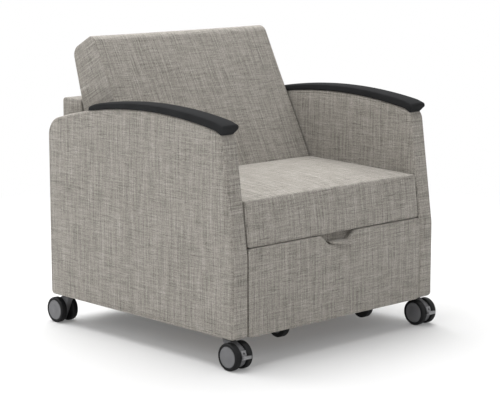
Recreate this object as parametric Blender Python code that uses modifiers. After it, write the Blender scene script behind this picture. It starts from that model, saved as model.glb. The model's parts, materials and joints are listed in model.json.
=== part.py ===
"""Sleep chair: padded arm panels on twin-wheel casters, a seat that pulls out on sloping rails
until its own wheels reach the floor, and a back that folds flat behind it as it comes.

Metres, +Z up. Inside the chair, y is counted from the front plane of the arms towards the rear;
the root empty then puts the middle of the whole chair's depth on the origin.
"""
import math

import bmesh
import bpy

# Arm panels
WIDTH = 0.840
DEPTH = 0.838
UNDERSIDE = 0.088
ARM_THICK = 0.059
ARM_KNEE_Z = 0.320
ARM_FRONT_LEAN = math.radians(8.0)
ARM_CORNER_R = 0.014
ARM_EDGE_R = 0.007
ARCH_Y = 0.376
ARCH_TOP = 0.7016
ARCH_R = 1.594
SHOULDER_R = 0.060

# Arm caps
CAP_WIDTH = 0.062
CAP_REAR_Y = 0.668
CAP_NOSE_REACH = 0.032
CAP_NOSE_DROP = 0.009
CAP_FRONT_THICK = 0.025
CAP_REAR_THICK = 0.016
CAP_NOSE_FLAT = 0.011
CAP_TIP_RISE = 0.014
CAP_ROUND_R = 0.006
CAP_EDGE_R = 0.004

# Rear panel and the rail that ties the arms together
REAR_PANEL_THICK = 0.081
REAR_PANEL_TOP = 0.700
REAR_PANEL_LIFT = 0.007
PANEL_EDGE_R = 0.010
TIE_RAIL_Y = 0.135
TIE_RAIL_DEPTH = 0.040
TIE_RAIL_HEIGHT = 0.022
TIE_RAIL_LIFT = 0.002
TIE_RAIL_EDGE_R = 0.003

# Seat unit
SEAT_GAP = 0.004
DECK_TOP = 0.345
DECK_THICK = 0.018
DECK_FRONT_Y = 0.060
DECK_REAR_GAP = 0.008
SEAT_FRONT_TOP = 0.471
SEAT_REAR_TOP = 0.483
SEAT_CROWN = 0.010
SEAT_DRAW = 0.004
SEAT_EDGE_R = 0.014
FRONT_PANEL_THICK = 0.022
FRONT_PANEL_EDGE_R = 0.005
GRIP_TOP_WIDTH = 0.146
GRIP_BOTTOM_WIDTH = 0.076
GRIP_DEPTH = 0.033
GRIP_CORNER_R = 0.013
TAB_WIDTH = 0.064
TAB_THICK = 0.006
TAB_REACH = 0.027
TAB_TAIL = 0.030
TAB_CORNER_R = 0.014
TAB_TAIL_R = 0.006
TAB_EDGE_R = 0.002
LINING_WIDTH = 0.200
LINING_HEIGHT = 0.050
LINING_THICK = 0.0195
SIDE_BOARD_THICK = 0.018
SIDE_BOARD_BOTTOM = 0.155
BRACE_HEIGHT = 0.070
BOARD_EDGE_R = 0.001

# Sloping slide rails
PULL_OUT = 0.480
RAIL_MID_Z = 0.200
TRACK_FRONT_Y = 0.040
TRACK_REAR_GAP = 0.012
TRACK_HEIGHT = 0.045
TRACK_WALL = 0.003
TRACK_DEPTH = 0.015
RUNNER_FRONT_Y = 0.060
RUNNER_REAR_GAP = 0.022
RUNNER_THICK = 0.0115
RUNNER_EDGE_R = 0.001

# Wheels under the front of the seat unit
SUPPORT_INSET = 0.179
SUPPORT_Y = 0.067
SUPPORT_R = 0.035
SUPPORT_WIDTH = 0.026
SUPPORT_FLOOR_GAP = 0.049
SUPPORT_FLOOR_LEFT = 0.001
FORK_WALL = 0.003
FORK_SIDE_GAP = 0.002
FORK_TOP_GAP = 0.006
FORK_DROP = 0.010
FORK_DEPTH = 0.062

# Back and its hinge
BACK_LEAN = math.radians(27.5)
BACK_FACE_GAP = 0.2835
BACK_FACE_Z = 0.490
BACK_LENGTH = 0.481
BACK_BOTTOM_THICK = 0.216
BACK_TOP_THICK = 0.115
BACK_TOP_DROP = 0.010
BACK_CROWN = 0.010
BACK_DRAW = 0.004
BACK_EDGE_R = 0.020
BACK_BOARD_THICK = 0.012
BACK_BOARD_LENGTH = 0.240
BACK_BOARD_INSET = 0.030
BACK_BOARD_EDGE_R = 0.004
BACK_SEAT_GAP = 0.008
HINGE_FACE_DEPTH = 0.022
HINGE_FLAT_Z = 0.480
HINGE_TUBE_R = 0.008
HINGE_TUBE_END = 0.030
HINGE_EYE_WALL = 0.006
HINGE_ARM_INSET = 0.122
HINGE_ARM_LEG = 0.090
HINGE_ARM_LEG_THICK = 0.006
HINGE_BRACKET_STEP = 0.015
HINGE_BRACKET_FOOT = 0.062
HINGE_BRACKET_REAR_ANGLE = math.radians(-20)
HINGE_BRACKET_FRONT_ANGLE = math.radians(170)
HINGE_PLATE_THICK = 0.005

# Casters
CASTER_INSET_X = 0.028
CASTER_INSET_Y = 0.050
CASTER_TRAIL = 0.028
CASTER_WIDTH = 0.064
WHEEL_R = 0.040
WHEEL_WIDTH = 0.021
WHEEL_TREAD_R = 0.006
WHEEL_HUB_R = 0.031
WHEEL_HUB_STEP = 0.0015
WHEEL_BORE_DEPTH = 0.014
AXLE_R = 0.004
HOOD_R = 0.034
HOOD_NECK = 0.032
HOOD_LOW_ANGLE = math.radians(-81)
HOOD_TOP_ANGLE = math.radians(-245)
STEM_R = 0.0055
PLATE_SIZE = 0.046
PLATE_THICK = 0.0047
PLATE_CORNER_R = 0.008
PEDAL_WIDTH = 0.018
PEDAL_THICK = 0.0035
PEDAL_TIP_R = 0.050
PEDAL_TOP_ANGLE = math.radians(148)
PEDAL_TIP_ANGLE = math.radians(176)
PEDAL_LOW_ANGLE = math.radians(190)

# Clearances
SEAT_ON = 0.0003
TURN_GAP = 0.0004
SLIDE_GAP = 0.0005
WHEEL_GAP = 0.0006

# How finely round shapes are divided
ARC_STEP = math.radians(18)
ARCH_STEPS = 14
CAP_STEPS = 12
SMOOTH_ANGLE = math.radians(40)

# Worked out from the sizes above
HALF = WIDTH / 2
ARM_INNER = HALF - ARM_THICK
ARM_MID = HALF - ARM_THICK / 2
SEAT_HALF = ARM_INNER - SEAT_GAP
REAR_PANEL_Y = DEPTH - REAR_PANEL_THICK
TRACK_REAR_Y = REAR_PANEL_Y - TRACK_REAR_GAP
RUNNER_REAR_Y = REAR_PANEL_Y - RUNNER_REAR_GAP
BACK_FACE_Y = REAR_PANEL_Y - BACK_FACE_GAP
DECK_REAR_Y = BACK_FACE_Y - DECK_REAR_GAP
SUPPORT_X = SEAT_HALF - SUPPORT_INSET
HINGE_ARM_X = SEAT_HALF - HINGE_ARM_INSET
HINGE_BRACKET_X = HINGE_ARM_X + HINGE_BRACKET_STEP
HINGE_TUBE_LENGTH = 2 * (HINGE_BRACKET_X + HINGE_TUBE_END)
DROP = SUPPORT_FLOOR_GAP - SUPPORT_FLOOR_LEFT
SLOPE = math.asin(DROP / PULL_OUT)
CASTER_X = HALF - CASTER_INSET_X
FRONT_STEM_Y = CASTER_INSET_Y
REAR_STEM_Y = DEPTH - CASTER_INSET_Y
FRONT_REACH = FRONT_STEM_Y - CASTER_TRAIL - PEDAL_TIP_R
REAR_REACH = REAR_STEM_Y + CASTER_TRAIL + WHEEL_R
MID_Y = (FRONT_REACH + REAR_REACH) / 2
HINGE_Z = HINGE_FLAT_Z - HINGE_FACE_DEPTH
HINGE_Y = (BACK_FACE_Y + (HINGE_Z - BACK_FACE_Z) * math.tan(BACK_LEAN)
           + HINGE_FACE_DEPTH / math.cos(BACK_LEAN))
HINGE_EYE_R = HINGE_TUBE_R + HINGE_EYE_WALL
BACK_START = HINGE_EYE_R + SEAT_ON
PLATE_BOTTOM = UNDERSIDE - SEAT_ON - PLATE_THICK
HOOD_TOP = PLATE_BOTTOM - TURN_GAP
HOOD_WIDTH = CASTER_WIDTH - 2 * (WHEEL_WIDTH + WHEEL_GAP)

FABRIC = ("woven_fabric", (0.45, 0.42, 0.38), 0.90, 0.0)
CAP_BLACK = ("black_urethane", (0.025, 0.025, 0.027), 0.45, 0.0)
TYRE_BLACK = ("caster_black", (0.030, 0.030, 0.032), 0.50, 0.0)
HOOD_GREY = ("caster_grey", (0.16, 0.16, 0.165), 0.45, 0.0)
STEEL = ("zinc_steel", (0.55, 0.56, 0.57), 0.35, 1.0)
DARK_STEEL = ("black_steel", (0.05, 0.05, 0.055), 0.45, 0.8)
PLYWOOD = ("plywood", (0.55, 0.40, 0.25), 0.70, 0.0)

SIDES = (("left", -1), ("right", 1))


def clear_scene():
    for old in list(bpy.data.objects):
        bpy.data.objects.remove(old, do_unlink=True)


def new_collection(name):
    made = bpy.data.collections.new(name)
    bpy.context.scene.collection.children.link(made)
    return made


def finish(spec):
    name, colour, roughness, metallic = spec
    made = bpy.data.materials.get(name)
    if made:
        return made
    made = bpy.data.materials.new(name)
    made.use_nodes = True
    shader = made.node_tree.nodes["Principled BSDF"]
    shader.inputs["Base Color"].default_value = (*colour, 1.0)
    shader.inputs["Roughness"].default_value = roughness
    shader.inputs["Metallic"].default_value = metallic
    return made


def empty(name, parent, location=(0, 0, 0), rotation=(0, 0, 0)):
    made = bpy.data.objects.new(name, None)
    chair.objects.link(made)
    made.parent = parent
    made.location = location
    made.rotation_euler = rotation
    return made


def node(name, data, parent, spec, location=(0, 0, 0), rotation=(0, 0, 0)):
    """One named sub-part, placed in its parent's frame."""
    made = bpy.data.objects.new(name, data)
    chair.objects.link(made)
    made.parent = parent
    made.location = location
    made.rotation_euler = rotation
    data.materials.append(finish(spec))
    return made


def arc(centre, radius, start, end):
    """Points along an arc, ends included, no further apart than ARC_STEP."""
    count = max(1, math.ceil(abs(end - start) / ARC_STEP))
    turns = [start + (end - start) * i / count for i in range(count + 1)]
    return [(centre[0] + radius * math.cos(t), centre[1] + radius * math.sin(t)) for t in turns]


def rounded(corners):
    """A closed outline from (a, b, radius) corners, each rounded by an arc of its radius."""
    points = []
    for i, (a, b, radius) in enumerate(corners):
        before, after = corners[i - 1], corners[(i + 1) % len(corners)]
        if radius == 0:
            points.append((a, b))
            continue
        back = math.atan2(before[1] - b, before[0] - a)
        turn = math.atan2(after[1] - b, after[0] - a) - back
        turn = (turn + math.pi) % (2 * math.pi) - math.pi
        reach = radius / math.sin(abs(turn) / 2)
        middle = back + turn / 2
        centre = (a + reach * math.cos(middle), b + reach * math.sin(middle))
        side = math.copysign(math.pi / 2, turn)
        start = back - side
        points += arc(centre, radius, start, start + turn - 2 * side)
    return points


def outline(name, loops, thickness, edge=0.0):
    """A flat 2D curve of one outer loop and any holes, extruded to a thickness."""
    made = bpy.data.curves.new(name, "CURVE")
    made.dimensions = "2D"
    made.fill_mode = "BOTH"
    made.extrude = thickness / 2 - edge
    made.bevel_depth = edge
    made.offset = -edge
    made.bevel_resolution = 1
    for loop in loops:
        spline = made.splines.new("POLY")
        spline.points.add(len(loop) - 1)
        for point, (a, b) in zip(spline.points, loop):
            point.co = (a, b, 0, 1)
        spline.use_cyclic_u = True
    return made


SIDE_ON = (math.pi / 2, 0, math.pi / 2)
FRONT_ON = (math.pi / 2, 0, 0)


def side_plate(name, loops, x, thickness, parent, spec, edge=0.0):
    """An outline drawn in (y, z) of its parent, with its thickness along x."""
    return node(name, outline(name, loops, thickness, edge), parent, spec, (x, 0, 0), SIDE_ON)


def block(name, low, high, parent, spec, edge=0.0):
    """A box between two corners of its parent's frame, its edges rounded."""
    size = [b - a for a, b in zip(low, high)]
    form = bmesh.new()
    bmesh.ops.create_cube(form, size=1.0)
    bmesh.ops.scale(form, vec=size, verts=form.verts)
    data = bpy.data.meshes.new(name)
    form.to_mesh(data)
    form.free()
    made = node(name, data, parent, spec, [(a + b) / 2 for a, b in zip(low, high)])
    if edge:
        soften(made, edge)
    return made


def soften(item, width, segments=3):
    bevel = item.modifiers.new("rounded_edges", "BEVEL")
    bevel.width = width
    bevel.segments = segments
    bevel.limit_method = "ANGLE"
    bevel.angle_limit = SMOOTH_ANGLE


def rod(name, radius, length, centre, parent, spec, rotation, sides=20):
    form = bmesh.new()
    bmesh.ops.create_cone(form, cap_ends=True, segments=sides, radius1=radius, radius2=radius,
                          depth=length)
    data = bpy.data.meshes.new(name)
    form.to_mesh(data)
    form.free()
    made = node(name, data, parent, spec, centre, rotation)
    data.shade_smooth()
    data.set_sharp_from_angle(angle=SMOOTH_ANGLE)
    return made


ALONG_X = (0, math.pi / 2, 0)


def turned(name, profile, centre, parent, spec, facing, steps=24):
    """A profile of (radius, height) turned about its own axis, its top facing along x."""
    form = bmesh.new()
    points = [form.verts.new((r, 0, h)) for r, h in profile]
    for a, b in zip(points, points[1:]):
        form.edges.new((a, b))
    data = bpy.data.meshes.new(name)
    form.to_mesh(data)
    form.free()
    made = node(name, data, parent, spec, centre, (0, facing * math.pi / 2, 0))
    screw = made.modifiers.new("turned", "SCREW")
    screw.axis = "Z"
    screw.steps = steps
    screw.render_steps = steps
    screw.use_merge_vertices = True
    screw.merge_threshold = 0.00001
    screw.use_smooth_shade = True
    return made


def cushion(name, shape, parent, spec, edge):
    """A box divided into a grid, each of its points placed by shape(across, along, up)."""
    form = bmesh.new()
    bmesh.ops.create_cube(form, size=1.0)
    bmesh.ops.subdivide_edges(form, edges=form.edges, cuts=5, use_grid_fill=True)
    for v in form.verts:
        v.co = shape(2 * v.co.x, v.co.y + 0.5, v.co.z + 0.5)
    data = bpy.data.meshes.new(name)
    form.to_mesh(data)
    form.free()
    made = node(name, data, parent, spec)
    soften(made, edge)
    data.shade_smooth()
    return made


def swell(a):
    """0 at both ends of 0 to 1 and 1 in the middle."""
    return 4 * a * (1 - a)


def arch_z(y, lift=0.0):
    """Height of the arm's arched top at y, or of a line a lift outside it."""
    radius = ARCH_R + lift
    return ARCH_TOP - ARCH_R + math.sqrt(radius ** 2 - (y - ARCH_Y) ** 2)


def front_y(z):
    """The arm's front edge: upright to the knee, leaning back above it."""
    return max(0.0, (z - ARM_KNEE_Z) * math.tan(ARM_FRONT_LEAN))


def arm_front_corner():
    """Where the leaning front edge meets the arch."""
    z = ARCH_TOP
    for _ in range(40):
        z = arch_z(front_y(z))
    return front_y(z), z


def arm_outline():
    corner_y, corner_z = arm_front_corner()
    centre_z = ARCH_TOP - ARCH_R
    shoulder_y = DEPTH - SHOULDER_R
    shoulder_z = centre_z + math.sqrt((ARCH_R - SHOULDER_R) ** 2 - (shoulder_y - ARCH_Y) ** 2)
    tangent = math.atan2(shoulder_z - centre_z, shoulder_y - ARCH_Y)
    start = math.atan2(corner_z - centre_z, corner_y - ARCH_Y)
    turns = [start + (tangent - start) * i / ARCH_STEPS for i in range(1, ARCH_STEPS)]
    arch = [(ARCH_Y + ARCH_R * math.cos(t), centre_z + ARCH_R * math.sin(t), 0) for t in turns]
    shoulder = arc((shoulder_y, shoulder_z), SHOULDER_R, tangent, 0)
    return rounded([(0, UNDERSIDE, ARM_CORNER_R), (0, ARM_KNEE_Z, 0),
                    (corner_y, corner_z, ARM_CORNER_R), *arch,
                    *[(y, z, 0) for y, z in shoulder], (DEPTH, UNDERSIDE, ARM_CORNER_R)])


def cap_outline():
    """A bar along the arch, thinning to a round tail, with a nose that hooks over the front."""
    corner_y, corner_z = arm_front_corner()
    hook_y = corner_y - SEAT_ON
    nose_z = corner_z - CAP_NOSE_DROP
    tip_y = corner_y - CAP_NOSE_REACH
    below = [CAP_REAR_Y + (hook_y - CAP_REAR_Y) * i / CAP_STEPS for i in range(1, CAP_STEPS)]
    above = [corner_y + (CAP_REAR_Y - corner_y) * i / CAP_STEPS for i in range(CAP_STEPS)]

    def thick(y):
        share = (y - corner_y) / (CAP_REAR_Y - corner_y)
        return CAP_FRONT_THICK + (CAP_REAR_THICK - CAP_FRONT_THICK) * share

    lower = [(y, arch_z(y, SEAT_ON), 0) for y in below]
    upper = [(y, arch_z(y, thick(y)), 0) for y in above]
    heel_y = front_y(nose_z) - SEAT_ON
    return rounded([(CAP_REAR_Y, arch_z(CAP_REAR_Y, SEAT_ON), CAP_ROUND_R), *lower,
                    (hook_y, corner_z + SEAT_ON, 0), (heel_y, nose_z, 0),
                    (heel_y - CAP_NOSE_FLAT, nose_z, 0),
                    (tip_y, corner_z + CAP_TIP_RISE, CAP_ROUND_R), *upper,
                    (CAP_REAR_Y, arch_z(CAP_REAR_Y, CAP_REAR_THICK), CAP_ROUND_R)])


def build_frame(root):
    arm, cap = [arm_outline()], [cap_outline()]
    for side, sign in SIDES:
        side_plate(f"{side}_arm_panel", arm, sign * ARM_MID, ARM_THICK, root, FABRIC, ARM_EDGE_R)
        side_plate(f"{side}_arm_cap", cap, sign * ARM_MID, CAP_WIDTH, root, CAP_BLACK, CAP_EDGE_R)
    reach = ARM_INNER - SEAT_ON
    block("rear_panel", (-reach, REAR_PANEL_Y, UNDERSIDE + REAR_PANEL_LIFT),
          (reach, DEPTH, REAR_PANEL_TOP), root, FABRIC, PANEL_EDGE_R)
    low = UNDERSIDE + TIE_RAIL_LIFT
    block("front_tie_rail", (-reach, TIE_RAIL_Y - TIE_RAIL_DEPTH / 2, low),
          (reach, TIE_RAIL_Y + TIE_RAIL_DEPTH / 2, low + TIE_RAIL_HEIGHT), root, DARK_STEEL,
          TIE_RAIL_EDGE_R)


def rail_z(y):
    return RAIL_MID_Z + (y - DEPTH / 2) * math.tan(SLOPE)


def build_tracks(root):
    """A channel inside each arm, open towards the seat, sloping down to the front."""
    middle = (TRACK_FRONT_Y + TRACK_REAR_Y) / 2
    length = (TRACK_REAR_Y - TRACK_FRONT_Y) / math.cos(SLOPE)
    half = TRACK_HEIGHT / 2
    for side, sign in SIDES:
        outer = sign * (ARM_INNER - SEAT_ON)
        web = outer - sign * TRACK_WALL
        lip = outer - sign * TRACK_DEPTH
        inside = half - TRACK_WALL
        channel = [(outer, -half), (outer, half), (lip, half), (lip, inside), (web, inside),
                   (web, -inside), (lip, -inside), (lip, -half)]
        node(f"{side}_slide_track", outline(f"{side}_slide_track", [channel], length), root, STEEL,
             (0, middle, rail_z(middle)), (math.pi / 2 + SLOPE, 0, 0))


def build_seat_unit(unit):
    runner_outer = ARM_INNER - SEAT_ON - TRACK_WALL - SLIDE_GAP
    board_outer = runner_outer - RUNNER_THICK - SEAT_ON
    board_inner = board_outer - SIDE_BOARD_THICK
    board_top = DECK_TOP - DECK_THICK - SEAT_ON
    panel_back = FRONT_PANEL_THICK + SEAT_ON
    middle = (RUNNER_FRONT_Y + RUNNER_REAR_Y) / 2
    length = (RUNNER_REAR_Y - RUNNER_FRONT_Y) / math.cos(SLOPE)
    half_height = TRACK_HEIGHT / 2 - TRACK_WALL - SLIDE_GAP
    for side, sign in SIDES:
        near, far = sorted((sign * board_inner, sign * board_outer))
        block(f"{side}_side_board", (near, panel_back, SIDE_BOARD_BOTTOM),
              (far, DECK_REAR_Y, board_top), unit, PLYWOOD, BOARD_EDGE_R)
        slot = empty(f"{side}_runner_line", unit, (0, middle, rail_z(middle)), (SLOPE, 0, 0))
        near, far = sorted((sign * (board_outer + SEAT_ON), sign * runner_outer))
        block(f"{side}_slide_runner", (near, -length / 2, -half_height),
              (far, length / 2, half_height), slot, STEEL, RUNNER_EDGE_R)
    block("seat_deck", (-board_outer, DECK_FRONT_Y, DECK_TOP - DECK_THICK),
          (board_outer, DECK_REAR_Y, DECK_TOP), unit, PLYWOOD, BOARD_EDGE_R)
    reach = board_inner - SEAT_ON
    block("rear_brace", (-reach, DECK_REAR_Y - SIDE_BOARD_THICK, board_top - BRACE_HEIGHT),
          (reach, DECK_REAR_Y, board_top), unit, PLYWOOD, BOARD_EDGE_R)
    build_front_panel(unit)
    cushion("seat_cushion", seat_shape, unit, FABRIC, SEAT_EDGE_R)


def build_front_panel(unit):
    """The panel below the seat, with a hand grip cut into its top edge, a tab lying in it and a lining behind."""
    top = DECK_TOP - SEAT_ON
    floor = top - GRIP_DEPTH
    wide, narrow = GRIP_TOP_WIDTH / 2, GRIP_BOTTOM_WIDTH / 2
    edge = FRONT_PANEL_EDGE_R
    loop = rounded([(-SEAT_HALF, UNDERSIDE, 2 * edge), (SEAT_HALF, UNDERSIDE, 2 * edge),
                    (SEAT_HALF, top, 2 * edge), (wide, top, GRIP_CORNER_R),
                    (narrow, floor, GRIP_CORNER_R), (-narrow, floor, GRIP_CORNER_R),
                    (-wide, top, GRIP_CORNER_R), (-SEAT_HALF, top, 2 * edge)])
    node("front_panel", outline("front_panel", [loop], FRONT_PANEL_THICK, edge), unit, FABRIC,
         (0, FRONT_PANEL_THICK / 2, 0), FRONT_ON)
    half = TAB_WIDTH / 2
    tab = rounded([(-half, -TAB_REACH, TAB_CORNER_R), (half, -TAB_REACH, TAB_CORNER_R),
                   (half, TAB_TAIL, TAB_TAIL_R), (-half, TAB_TAIL, TAB_TAIL_R)])
    node("pull_tab", outline("pull_tab", [tab], TAB_THICK, TAB_EDGE_R), unit, FABRIC,
         (0, 0, floor + SEAT_ON + TAB_THICK / 2))
    block("grip_lining", (-LINING_WIDTH / 2, DECK_FRONT_Y - SEAT_ON - LINING_THICK, top - LINING_HEIGHT),
          (LINING_WIDTH / 2, DECK_FRONT_Y - SEAT_ON, top), unit, FABRIC, BOARD_EDGE_R)


def seat_shape(across, along, up):
    """Crowned top, sides drawn in between the corners, front and rear following the arm and back."""
    low = DECK_TOP + SEAT_ON
    edge_top = SEAT_FRONT_TOP + (SEAT_REAR_TOP - SEAT_FRONT_TOP) * along
    z = low + (edge_top - low) * up
    rear = BACK_FACE_Y + (z - BACK_FACE_Z) * math.tan(BACK_LEAN) - BACK_SEAT_GAP / math.cos(BACK_LEAN)
    ahead = front_y(z) + SEAT_DRAW * swell(across / 2 + 0.5) * swell(up)
    y = ahead + (rear - ahead) * along
    x = across * (SEAT_HALF - SEAT_DRAW * swell(along) * swell(up))
    return x, y, z + SEAT_CROWN * up * swell(across / 2 + 0.5) * swell(along)


def build_support_wheels(unit):
    """Two wheels behind the front panel, each between the legs of a fork."""
    axle_z = SUPPORT_FLOOR_GAP + SUPPORT_R
    inner = SUPPORT_WIDTH / 2 + FORK_SIDE_GAP
    outer = inner + FORK_WALL
    bridge = SUPPORT_R + FORK_TOP_GAP
    fork = [(-outer, -FORK_DROP), (-inner, -FORK_DROP), (-inner, bridge), (inner, bridge),
            (inner, -FORK_DROP), (outer, -FORK_DROP), (outer, bridge + FORK_WALL),
            (-outer, bridge + FORK_WALL)]
    fork_y = FRONT_PANEL_THICK + SEAT_ON + FORK_DEPTH / 2
    half = SUPPORT_WIDTH / 2
    bore = AXLE_R + TURN_GAP
    profile = [(bore, half), (SUPPORT_R - WHEEL_TREAD_R, half), (SUPPORT_R, half - WHEEL_TREAD_R),
               (SUPPORT_R, WHEEL_TREAD_R - half), (SUPPORT_R - WHEEL_TREAD_R, -half), (bore, -half),
               (bore, half)]
    for side, sign in SIDES:
        hub = empty(f"{side}_support_hub", unit, (sign * SUPPORT_X, SUPPORT_Y, axle_z))
        node(f"{side}_support_fork", outline(f"{side}_support_fork", [fork], FORK_DEPTH), hub,
             DARK_STEEL, (0, fork_y - SUPPORT_Y, 0), FRONT_ON)
        rod(f"{side}_support_axle", AXLE_R, 2 * (inner - SEAT_ON), (0, 0, 0), hub, STEEL, ALONG_X)
        turned(f"{side}_support_wheel", profile, (0, 0, 0), hub, TYRE_BLACK, 1)


def build_hinge_brackets(unit):
    """Upright plates on the rear of the deck, each with an eye for the back's hinge tube."""
    eye = arc((HINGE_Y, HINGE_Z), HINGE_TUBE_R + TURN_GAP, 0, 2 * math.pi)[:-1]
    foot = DECK_TOP + SEAT_ON
    nose = arc((HINGE_Y, HINGE_Z), HINGE_EYE_R, HINGE_BRACKET_REAR_ANGLE, HINGE_BRACKET_FRONT_ANGLE)
    plate = [(DECK_REAR_Y - HINGE_BRACKET_FOOT, foot), (DECK_REAR_Y, foot), *nose]
    for side, sign in SIDES:
        side_plate(f"{side}_hinge_bracket", [plate, eye], sign * HINGE_BRACKET_X,
                   HINGE_PLATE_THICK, unit, DARK_STEEL)


def back_shape(across, along, up):
    """A wedge in the back's own frame, its top falling to the rear: along runs from the face to the rear."""
    thick = BACK_BOTTOM_THICK + (BACK_TOP_THICK - BACK_BOTTOM_THICK) * up
    bulge = BACK_CROWN * (1 - along) * swell(across / 2 + 0.5) * swell(up)
    y = -HINGE_FACE_DEPTH + thick * along - bulge
    x = across * (SEAT_HALF - BACK_DRAW * swell(up) * swell(along))
    fall = BACK_TOP_DROP * along ** 2 + BACK_DRAW * swell(across / 2 + 0.5) * swell(along)
    z = BACK_START + (BACK_LENGTH - fall) * up
    return x, y, z


def build_back(fold):
    cushion("back_cushion", back_shape, fold, FABRIC, BACK_EDGE_R)
    taper = math.atan((BACK_BOTTOM_THICK - BACK_TOP_THICK) / BACK_LENGTH)
    rear = BACK_BOTTOM_THICK - HINGE_FACE_DEPTH + SEAT_ON
    board = empty("board_line", fold, (0, rear, BACK_START), (taper, 0, 0))
    reach = SEAT_HALF - BACK_BOARD_INSET
    block("back_board", (-reach, 0, 0), (reach, BACK_BOARD_THICK, BACK_BOARD_LENGTH), board, FABRIC,
          BACK_BOARD_EDGE_R)
    rod("hinge_tube", HINGE_TUBE_R, HINGE_TUBE_LENGTH, (0, 0, 0), fold, STEEL, ALONG_X)
    eye = arc((0, 0), HINGE_TUBE_R + SEAT_ON, 0, 2 * math.pi)[:-1]
    nose = arc((0, 0), HINGE_EYE_R, math.pi / 2, 3 * math.pi / 2)
    behind = rear + (BACK_BOARD_THICK + SEAT_ON) / math.cos(taper)
    slant = HINGE_ARM_LEG * math.tan(taper)
    leg = [(behind + HINGE_ARM_LEG_THICK, -HINGE_EYE_R),
           (behind + HINGE_ARM_LEG_THICK - slant, BACK_START + HINGE_ARM_LEG),
           (behind - slant, BACK_START + HINGE_ARM_LEG), (behind, HINGE_EYE_R)]
    for side, sign in SIDES:
        side_plate(f"{side}_hinge_arm", [[*nose, *leg], eye], sign * HINGE_ARM_X,
                   HINGE_PLATE_THICK, fold, DARK_STEEL)


def build_caster(root, name, x, stem_y, trail, braked):
    """A swivelling caster: mounting plate, stem, hood, axle and a wheel on each side."""
    swivel = empty(f"{name}_swivel", root, (x, stem_y, 0))
    half = PLATE_SIZE / 2
    square = rounded([(-half, -half, PLATE_CORNER_R), (half, -half, PLATE_CORNER_R),
                      (half, half, PLATE_CORNER_R), (-half, half, PLATE_CORNER_R)])
    socket = arc((0, 0), STEM_R + TURN_GAP, 0, 2 * math.pi)[:-1]
    plate_z = PLATE_BOTTOM + PLATE_THICK / 2
    node(f"{name}_plate", outline(f"{name}_plate", [square, socket], PLATE_THICK), swivel, DARK_STEEL,
         (0, 0, plate_z))
    stem_low = HOOD_TOP + SEAT_ON
    stem_high = UNDERSIDE - TURN_GAP
    rod(f"{name}_stem", STEM_R, stem_high - stem_low, (0, 0, (stem_low + stem_high) / 2), swivel,
        STEEL, (0, 0, 0), 16)
    axle = empty(f"{name}_axle_line", swivel, (0, trail, WHEEL_R))
    build_hood(axle, f"{name}_hood", trail)
    rod(f"{name}_axle", AXLE_R, CASTER_WIDTH - 2 * (WHEEL_WIDTH - WHEEL_BORE_DEPTH) - 2 * SEAT_ON,
        (0, 0, 0), axle, STEEL, ALONG_X, 16)
    for place, sign in (("left", -1), ("right", 1)):
        build_caster_wheel(axle, f"{name}_{place}_wheel", sign)
    if braked:
        build_pedal(axle, f"{name}_brake_pedal")


def build_hood(axle, name, trail):
    """The housing between the wheels: round about the axle, with a neck up to the stem."""
    top = HOOD_TOP - WHEEL_R
    away = math.copysign(1, trail)
    near, far = -trail - away * HOOD_NECK / 2, -trail + away * HOOD_NECK / 2
    sweep = arc((0, 0), HOOD_R, HOOD_LOW_ANGLE, HOOD_TOP_ANGLE)
    shell = [(-away * y, z) for y, z in sweep]
    loop = [*shell, (far, top), (near, top)]
    bore = arc((0, 0), AXLE_R + SEAT_ON, 0, 2 * math.pi)[:-1]
    side_plate(name, [loop, bore], 0, HOOD_WIDTH, axle, HOOD_GREY)


def build_caster_wheel(axle, name, sign):
    half = WHEEL_WIDTH / 2
    bore = AXLE_R + TURN_GAP
    rim = WHEEL_R - WHEEL_TREAD_R
    profile = [(0, half - WHEEL_HUB_STEP), (WHEEL_HUB_R, half - WHEEL_HUB_STEP), (WHEEL_HUB_R, half),
               (rim, half), (WHEEL_R, half - WHEEL_TREAD_R), (WHEEL_R, WHEEL_TREAD_R - half),
               (rim, -half), (bore, -half), (bore, WHEEL_BORE_DEPTH - half),
               (0, WHEEL_BORE_DEPTH - half)]
    turned(name, profile, (sign * (CASTER_WIDTH - WHEEL_WIDTH) / 2, 0, 0), axle, TYRE_BLACK, sign)


def build_pedal(axle, name):
    """A shoe round the front of the hood, with a tread that a foot presses down."""
    inner = HOOD_R + TURN_GAP
    outer = inner + PEDAL_THICK
    tread = PEDAL_THICK / PEDAL_TIP_R
    loop = [*arc((0, 0), inner, PEDAL_LOW_ANGLE, PEDAL_TOP_ANGLE),
            *arc((0, 0), outer, PEDAL_TOP_ANGLE, PEDAL_TIP_ANGLE - tread),
            *arc((0, 0), PEDAL_TIP_R, PEDAL_TIP_ANGLE, math.pi),
            *arc((0, 0), outer, math.pi + tread, PEDAL_LOW_ANGLE)]
    side_plate(name, [loop], 0, PEDAL_WIDTH, axle, HOOD_GREY)


def build_casters(root):
    for side, sign in SIDES:
        build_caster(root, f"front_{side}_caster", sign * CASTER_X, FRONT_STEM_Y, -CASTER_TRAIL, True)
        build_caster(root, f"rear_{side}_caster", sign * CASTER_X, REAR_STEM_Y, CASTER_TRAIL, False)


clear_scene()
chair = new_collection("sleep_chair")
chair_root = empty("chair_root", None, (0, -MID_Y, 0))
seat_unit = empty("seat_unit", chair_root)
back_fold = empty("back_fold", seat_unit, (0, HINGE_Y, HINGE_Z), (-BACK_LEAN, 0, 0))
build_frame(chair_root)
build_tracks(chair_root)
build_seat_unit(seat_unit)
build_support_wheels(seat_unit)
build_hinge_brackets(seat_unit)
build_back(back_fold)
build_casters(chair_root)
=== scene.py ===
"""The looks of the sleep chair: woven upholstery, black arm caps, twin-wheel casters and the works below."""
import json
import math

import bmesh
import bpy
from mathutils import Matrix, Vector, noise


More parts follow.
